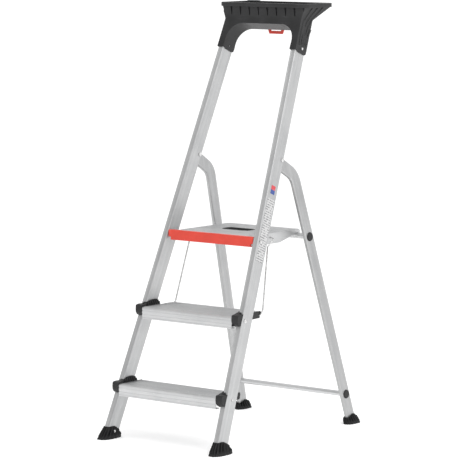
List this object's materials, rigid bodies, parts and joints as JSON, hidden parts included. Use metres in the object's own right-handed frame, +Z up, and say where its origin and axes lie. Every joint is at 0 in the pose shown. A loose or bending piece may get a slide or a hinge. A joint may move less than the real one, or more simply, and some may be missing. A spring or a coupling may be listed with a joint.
{
  "type": "folding step ladder",
  "caption": "Folding aluminium step ladder with flat treads, a folding top platform, a high front frame, a tool tray with a bucket hook, and a rear frame on flared feet.",
  "frame": {"origin": "on the floor, at the middle of the area that the four feet cover", "axes": "+Z up, +X to the right of a person facing the treads, +Y from the treads towards the rear frame"},
  "size_m": [0.4692, 0.7274, 1.288],
  "materials": {
    "stile_metal": "satin extruded aluminium",
    "tube_metal": "satin drawn aluminium tube",
    "tread_metal": "ribbed extruded aluminium",
    "foot_rubber": "matt moulded rubber",
    "black_plastic": "matt moulded plastic",
    "tray_plastic": "fine grained moulded plastic",
    "rivet_steel": "zinc plated steel",
    "rod_wire": "zinc plated steel wire",
    "red_plastic": "satin red plastic",
    "grey_plastic": "satin grey plastic",
    "label_film": "printed film, plain pattern",
    "badge_film": "two-colour film, plain shapes"
  },
  "bodies": {
    "front_frame": {"stile_left": "stile_metal", "stile_right": "stile_metal", "front_foot_left": "foot_rubber", "front_foot_right": "foot_rubber", "foot_rivets": "rivet_steel", "lower_tread": "tread_metal", "lower_bracket_left": "black_plastic", "lower_bracket_right": "black_plastic", "lower_cap_left": "black_plastic", "lower_cap_right": "black_plastic", "middle_bracket_left": "black_plastic", "middle_bracket_right": "black_plastic", "bracket_rivets": "rivet_steel", "tray": "tray_plastic", "tray_screws": "rivet_steel", "tray_clip": "grey_plastic", "hook_pin": "rivet_steel", "frame_pins": "rivet_steel", "tread_pins": "rivet_steel", "platform_pins": "rivet_steel", "platform_bush_left": "black_plastic", "platform_bush_right": "black_plastic", "label_panel": "label_film", "label_badge": "badge_film"},
    "rear_frame": {"rear_leg_left": "tube_metal", "rear_leg_right": "tube_metal", "upper_tube": "tube_metal", "lower_rung": "tube_metal", "tube_plugs": "black_plastic", "rear_foot_left": "foot_rubber", "rear_foot_right": "foot_rubber"},
    "platform": {"platform_deck": "tread_metal", "slot_trim": "black_plastic", "platform_beam": "tread_metal", "platform_strip": "red_plastic", "platform_rail_left": "tread_metal", "platform_rail_right": "tread_metal"},
    "middle_step": {"middle_tread": "tread_metal", "tread_hub_left": "black_plastic", "tread_hub_right": "black_plastic", "middle_cap_left": "black_plastic", "middle_cap_right": "black_plastic"},
    "rod_left": {"link_rod_left": "rod_wire"},
    "rod_right": {"link_rod_right": "rod_wire"},
    "hook": {"bucket_hook": "red_plastic"}
  },
  "joints": [
    {"name": "rear_frame_fold", "type": "hinge", "parent": "front_frame", "child": "rear_frame", "pos_m": [0, 0.03423, 0.82702], "axis": [-1, 0, 0], "range_deg": [0, 31]},
    {"name": "platform_fold", "type": "hinge", "parent": "front_frame", "child": "platform", "pos_m": [0, -0.08918, 0.595], "axis": [1, 0, 0], "range_deg": [0, 56.84]},
    {"name": "middle_step_fold", "type": "hinge", "parent": "front_frame", "child": "middle_step", "pos_m": [0, -0.18077, 0.372], "axis": [1, 0, 0], "range_deg": [0, 56.84]},
    {"name": "rod_left_swing", "type": "hinge", "parent": "platform", "child": "rod_left", "pos_m": [0, 0.01882, 0.595], "axis": [-1, 0, 0], "range_deg": [0, 56.84]},
    {"name": "rod_right_swing", "type": "hinge", "parent": "platform", "child": "rod_right", "pos_m": [0, 0.01882, 0.595], "axis": [-1, 0, 0], "range_deg": [0, 56.84]},
    {"name": "hook_swing", "type": "hinge", "parent": "front_frame", "child": "hook", "pos_m": [0, 0.21999, 1.22564], "axis": [1, 0, 0], "range_deg": [0, 55]}
  ],
  "couplings": [
    {"joint": "platform_fold", "follows": "rear_frame_fold", "ratio": 1.8333},
    {"joint": "middle_step_fold", "follows": "rear_frame_fold", "ratio": 1.8333},
    {"joint": "rod_left_swing", "follows": "rear_frame_fold", "ratio": 1.8333},
    {"joint": "rod_right_swing", "follows": "rear_frame_fold", "ratio": 1.8333}
  ]
}
